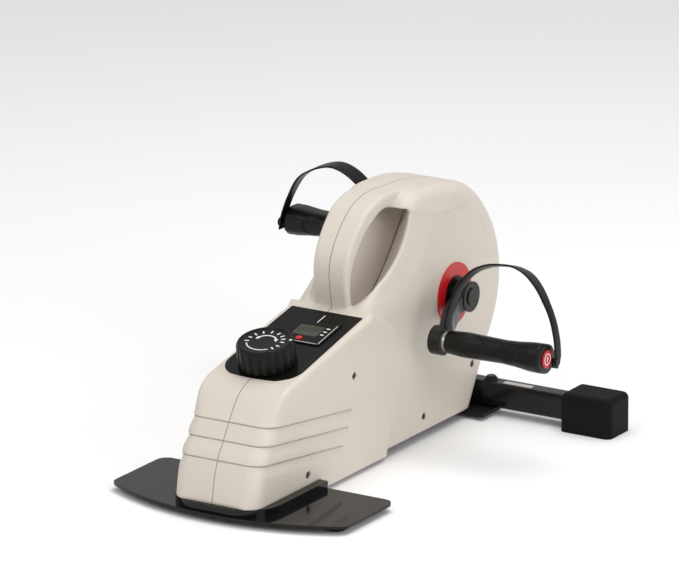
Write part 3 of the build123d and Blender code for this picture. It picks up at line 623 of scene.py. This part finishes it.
def pedal_rings(along=230, around=120):
    """Each ring mixes a square with a diamond that cuts its corners. For the sizes c and s of cosine
    and sine, a point's reach is the sum of c, s and (c + s) / 1.55, each to the power 14, taken to
    the power -1/14. Both half sizes follow a table along X, and shrink a little at the ends."""
    x = np.linspace(BAR_START, BAR_END, along)
    edge = ramp(np.minimum(x - BAR_START, BAR_END - x), 0, 3.5)
    trim = 1 - 0.16 * (1 - np.sqrt(1 - (1 - edge) ** 2))
    stations = [92, 112, 140, 158, 175, 192, 206]
    high = np.interp(x, stations, [11.6, 13.2, 12.6, 12.2, 13.2, 15.2, 15.5]) * trim
    deep = np.interp(x, stations, [14.5, 17.2, 16.2, 16.0, 16.8, 18.0, 18.0]) * trim
    a = np.linspace(0, 2 * np.pi, around, endpoint=False)
    c, s = np.abs(np.cos(a)), np.abs(np.sin(a))
    reach = ((c**14 + s**14) + ((c + s) / 1.55) ** 14) ** (-1 / 14)
    y = deep[:, None] * reach * np.cos(a)
    z = high[:, None] * reach * np.sin(a)
    for centre, radius in ((127, 13.5), (170, 11.5)):
        away = np.hypot(x[:, None] - centre, z * 1.25) - radius
        sink = 1.3 * np.clip(0.5 - away / 2.2, 0, 1) * ramp(np.abs(y), 9, 13)
        y = y - np.sign(y) * sink
    return np.stack([np.broadcast_to(x[:, None], y.shape), y, z], axis=-1)


for side in PEDALS:
    points, faces = loft(on_pedal(pedal_rings(), side))
    bar = make_piece(f"pedal_bar_{side}", points, faces, "pedal_plastic", f"pedal_{side}_unit",
                     40)
    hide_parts(f"pedal_{side}")

# %% [markdown]
# ## Foot straps
# Each strap is one moulded rubber band, thin all along, wider over the foot than where it hooks on. It
# is a small rounded rectangle carried along a soft curve through chosen points, from the inner hook over
# the foot to the outer peg. Across the path the rectangle's width follows a table, so the band swells
# towards the top. Lean is how far along Y the band sits before it turns towards the peg.

# %% Straps
PEG_Y = 14
right_line = [(90.2, 12.3), (91.5, 33), (97.6, 57), (110, 74), (125, 82.5), (141, 86), (160, 86.3),
              (178, 79), (196, 61), (205, 43), (209.5, 24), (210.5, 8), (209, -7.8)]
left_line = [(90.2, 12.3), (93, 30), (100, 47), (110, 58.5), (123, 67), (137, 71.5), (150, 70.5),
             (167, 64), (184.5, 52), (198, 29), (206.4, 7), (209, -7.8)]
STRAPS = {"right": (right_line, -8.0, [6.5, 6.5, 7, 9, 12, 12, 9, 7, 6.5, 6.5]),
          "left": (left_line, 15.0, [6.5, 8, 12, 12.6, 12.6, 12, 9, 7, 6.5, 6.5])}


def strap_rings(corners, lean, widths, around=20):
    """Each ring has one axis along Y (the width) and one square to the centre line (the thickness).
    Round it, each is the cosine or sine raised to a power below one, which squares the ring up."""
    line = smooth_curve(corners, 120)
    ahead = np.gradient(line, axis=0)
    ahead /= np.linalg.norm(ahead, axis=1)[:, None]
    square = np.stack([ahead[:, 1], -ahead[:, 0]], axis=-1)
    run = np.concatenate([[0], np.cumsum(np.linalg.norm(np.diff(line, axis=0), axis=1))])
    u = run / run[-1]
    width = np.interp(u, np.linspace(0, 1, len(widths)), widths)
    shift = np.interp(u, [0.72, 0.95], [lean, PEG_Y])
    b = np.linspace(0, 2 * np.pi, around, endpoint=False)
    c, s = np.cos(b), np.sin(b)
    across = np.sign(c) * np.abs(c) ** 0.35
    through = 1.15 * np.sign(s) * np.abs(s) ** 0.6
    x = line[:, :1] + square[:, :1] * through
    z = line[:, 1:] + square[:, 1:] * through
    y = shift[:, None] + width[:, None] * across
    return np.stack([x, y, z], axis=-1)


for side, (corners, lean, widths) in STRAPS.items():
    points, faces = loft(on_pedal(strap_rings(corners, lean, widths), side))
    strap = make_piece(f"foot_strap_{side}", points, faces, "strap_rubber", f"pedal_{side}_unit",
                       50)
    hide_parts(f"pedal_strap_{side}")

# %% [markdown]
# ## The knob
# The resistance knob is a deep moulded cup with twenty flutes for the fingers. It turns about a line
# square to the sloping console, so it is drawn upright about that line and then laid on the slope. It is
# a loft as well: rings from the foot up the side, over the rim and in to the middle of its sunken face.

# %% Fluted knob
SLOPE = math.radians(12.407)
KNOB_TOP, RIM_TOP, MODULE_TOP = 25.4, 26.9, 1.2
MODULE_AT = (0.0, -72.0)


def deck(y):
    """Height of the sloping console."""
    return 128.0 + 0.22 * (y + 180.6)


def on_slope(points, centre, lift):
    """(across, along the slope, out of it) about a point of the deck, lifted square to the deck."""
    u, v, w = np.moveaxis(points, -1, 0)
    w = w + lift
    base = deck(centre[1])
    return np.stack([centre[0] + u, centre[1] + v * math.cos(SLOPE) - w * math.sin(SLOPE),
                     base + v * math.sin(SLOPE) + w * math.cos(SLOPE)], axis=-1)


def knob_rings(around=360):
    """Rings of the knob from its foot to its sunken face, as (radius, height, depth of flute). Twenty
    flutes cut into the radius: each is a narrow dip (half of one plus the cosine of twenty turns,
    cubed) that fades out at the rim."""
    profile = np.array([(27.5, 1.0, 0.2), (29.4, 1.1, 1.2), (30, 1.7, 1.7), (30, 8, 1.8), (29.9, 16, 1.8),
                        (29.6, 22.4, 1.7), (29.2, 24.2, 1.1), (28.4, 25.9, 0.4), (27.5, 26.8, 0.1),
                        (26.7, 27, 0), (25.9, 26.7, 0), (25.4, 26, 0), (25.0, 25.5, 0), (24, 25.35, 0),
                        (3, 25.35, 0)])
    a = np.linspace(0, 2 * np.pi, around, endpoint=False)
    flute = (0.5 + 0.5 * np.cos(20 * a)) ** 3
    radius = profile[:, :1] - profile[:, 2:] * flute
    height = np.broadcast_to(profile[:, 1:2], radius.shape)
    return np.stack([radius * np.cos(a), radius * np.sin(a), height], axis=-1)


points, faces = loft(on_slope(knob_rings(), KNOB_AT, 0.0))
knob = make_piece("fluted_knob", points, faces, "knob_black", "knob_unit", 40)
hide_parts("tension_knob", "knob_cap")

# %% [markdown]
# ## Printing on the knob, the console and the badges
# Printed marks are thin strokes standing a quarter of a millimetre proud. A stroke is a loft too: a flat
# rectangle carried along a line, with a width that may change, so that the same few lines of code give
# bars, arcs, arrow heads and ticks. The marks are plain ones: an arc with two heads for more and less,
# ticks for the steps of resistance, and bars for the read-outs.

# %% Strokes
def stroke(line, width, thick=0.25):
    """Rings of four points along a flat line; width is one number or one for each point."""
    line = np.asarray(line, float)
    ahead = np.gradient(line, axis=0)
    ahead /= np.maximum(np.linalg.norm(ahead, axis=1), 1e-9)[:, None]
    side = np.stack([-ahead[:, 1], ahead[:, 0]], axis=-1) * (np.zeros(len(line)) + width)[:, None] / 2
    left, right = line + side, line - side
    low, high = np.full((len(line), 1), -thick), np.full((len(line), 1), thick)
    corners = [np.hstack(pair) for pair in ((left, low), (right, low), (right, high), (left, high))]
    return np.stack(corners, axis=1)


def add_strokes(name, strokes, place, finish, body):
    """Several strokes as one piece; place turns flat points into points of the frame."""
    points, faces, start = [], [], 0
    for rings in strokes:
        more_points, more_faces = loft(rings, start)
        points.append(more_points)
        faces += more_faces
        start += len(more_points)
    return make_piece(name, place(np.concatenate(points)), faces, finish, body)


def on_circle(radius, degrees):
    """The flat points at a radius and one or more angles: radius times their cosine and sine."""
    a = np.radians(degrees)
    return np.stack([radius * np.cos(a), radius * np.sin(a)], axis=-1)


def arc(radius, start, end, width, count=24):
    """A stroke along part of a circle, between two angles in degrees."""
    return stroke(on_circle(radius, np.linspace(start, end, count)), width)


def tick(angle, inner, outer, width):
    """A straight stroke along a radius, from the inner to the outer distance."""
    return stroke([on_circle(inner, angle), on_circle(outer, angle)], width)


def head(angle, radius, turn):
    """An arrow head on a circle: a stroke over 24 degrees whose width runs from wide to a point."""
    return stroke([on_circle(radius, angle), on_circle(radius, angle + turn * 24)], [4.6, 0.3])


print("strokes ready")

# %% [markdown]
# The knob carries the arc, its two heads, a ring of ticks and a longer arc below; a pointer sits apart
# on the rim. They belong to the knob's body, so they turn with it.

# %% Marks on the knob
knob_marks = [arc(11.5, 35, 150, 1.6), head(35, 11.5, -1), head(150, 11.5, 1)]
knob_marks += [tick(a, 16.5, 21.0, 1.6) for a in (-35, -15, 10, 30, 50, 72, 98, 125, 150, 172, 195)]
knob_marks += [arc(18.5, 210, 310, 1.3)]
pointer = [tick(18, 25.6, 28.2, 2.4)]
add_strokes("knob_marks", knob_marks, lambda p: on_slope(p, KNOB_AT, KNOB_TOP), "print_white", "knob_unit")
add_strokes("knob_pointer", pointer, lambda p: on_slope(p, KNOB_AT, RIM_TOP), "print_white", "knob_unit")

# %% [markdown]
# On the real console words and a thin frame surround the display. Three short bars, one long one and
# two hairlines stand in for them, laid on the panel's slope.

# %% Bars beside the display
bars = [stroke([(20.5, v), (24.5, v)], 1.9) for v in (-6.5, 0.0, 6.5)]
bars += [stroke([(4.0, 15.5), (4.0, 31.0)], 0.9), stroke([(-13, -25), (27, -25)], 0.6)]
bars += [stroke([(28.6, -24), (28.6, 15)], 0.6)]
add_strokes("console_bars", bars, lambda p: on_slope(p, MODULE_AT, MODULE_TOP), "print_white", "chassis")

# %% [markdown]
# Each pedal ends in a round badge. Its mark is a plain ring with a bar in it, drawn flat and stood on
# the badge's outer face. The rear tube has a blank grey label on top.

# %% Badge marks and a blank label
BADGE_FACE, TUBE_TOP = 206.95, 35.1


def on_badge(points, side):
    """Flat points about the spindle, standing on the badge's outer face."""
    u, v, w = np.moveaxis(points, -1, 0)
    return on_pedal(np.stack([BADGE_FACE + w, u, v], axis=-1), side)


mark = [arc(5.6, 0, 360, 1.2, 40), stroke([(0, -2.6), (0, 2.6)], 1.5)]
for side in PEDALS:
    add_strokes(f"badge_mark_{side}", mark, lambda p: on_badge(p, side), "print_white", f"pedal_{side}_unit")
label = [stroke([(72, 203), (106, 203)], 8)]
add_strokes("tube_label", label, lambda p: p + (0, 0, TUBE_TOP), "label_grey", "chassis")

# %% [markdown]
# ## Light, floor and camera
# A product on a pale sweep is lit by big soft sources. Here they are three square panels: one in front
# and a little to the user's left, one to the right, and the strongest overhead, with a bright surround
# that fills the shadows. The camera stands far off with a long lens, so parallel edges stay nearly
# parallel.

# %% Camera
camera_data = bpy.data.cameras.new("camera")
camera = bpy.data.objects.new("camera", camera_data)
bpy.context.collection.objects.link(camera)
camera_data.sensor_width = 36.0
camera_data.lens = 349.13
CAMERA_DISTANCE = 6.66604
target = Vector((12.519, -28.35, 186.987)) * MM
back = Vector((0.50249, -0.81609, 0.28550))
camera.location = target + back * CAMERA_DISTANCE
camera.rotation_mode = "QUATERNION"
camera.rotation_quaternion = (-back).to_track_quat("-Z", "Y")
camera_data.clip_start, camera_data.clip_end = 0.5, 60.0
bpy.context.scene.camera = camera
print("camera", round((camera.location - target).length, 2), "m from the object")


# %% Floor and lights
def add_panel(name, place, size, power):
    """A square soft light of the given size and power, facing a point just above the floor."""
    data = bpy.data.lights.new(name, "AREA")
    data.size = size
    data.energy = power
    lamp = bpy.data.objects.new(name, data)
    lamp.location = place
    lamp.rotation_mode = "QUATERNION"
    lamp.rotation_quaternion = (Vector((0, 0, 0.1)) - Vector(place)).to_track_quat("-Z", "Y")
    bpy.context.collection.objects.link(lamp)


floor_mesh = bpy.data.meshes.new("floor")
floor_mesh.from_pydata([(-6, -6, 0), (6, -6, 0), (6, 6, 0), (-6, 6, 0)], [], [(0, 1, 2, 3)])
floor = bpy.data.objects.new("floor", floor_mesh)
bpy.context.collection.objects.link(floor)
floor_mesh.materials.append(grained("floor_paper", (0.95, 0.95, 0.95), (0.97, 0.97, 0.97), (0.8, 0.9),
                                    spots=1, bump=0.0))
add_panel("key", (-0.7, -2.2, 1.9), 1.4, 13)
add_panel("side", (2.3, -1.0, 1.1), 1.2, 19)
add_panel("top", (0.2, 0.3, 2.3), 1.6, 27)
world = bpy.data.worlds.new("surround")
world.use_nodes = True
world.node_tree.nodes["Background"].inputs["Color"].default_value = (1.0, 1.0, 1.0, 1)
world.node_tree.nodes["Background"].inputs["Strength"].default_value = 0.55
bpy.context.scene.world = world
bpy.context.scene.view_settings.view_transform = "Standard"
print("three soft panels and a bright surround")
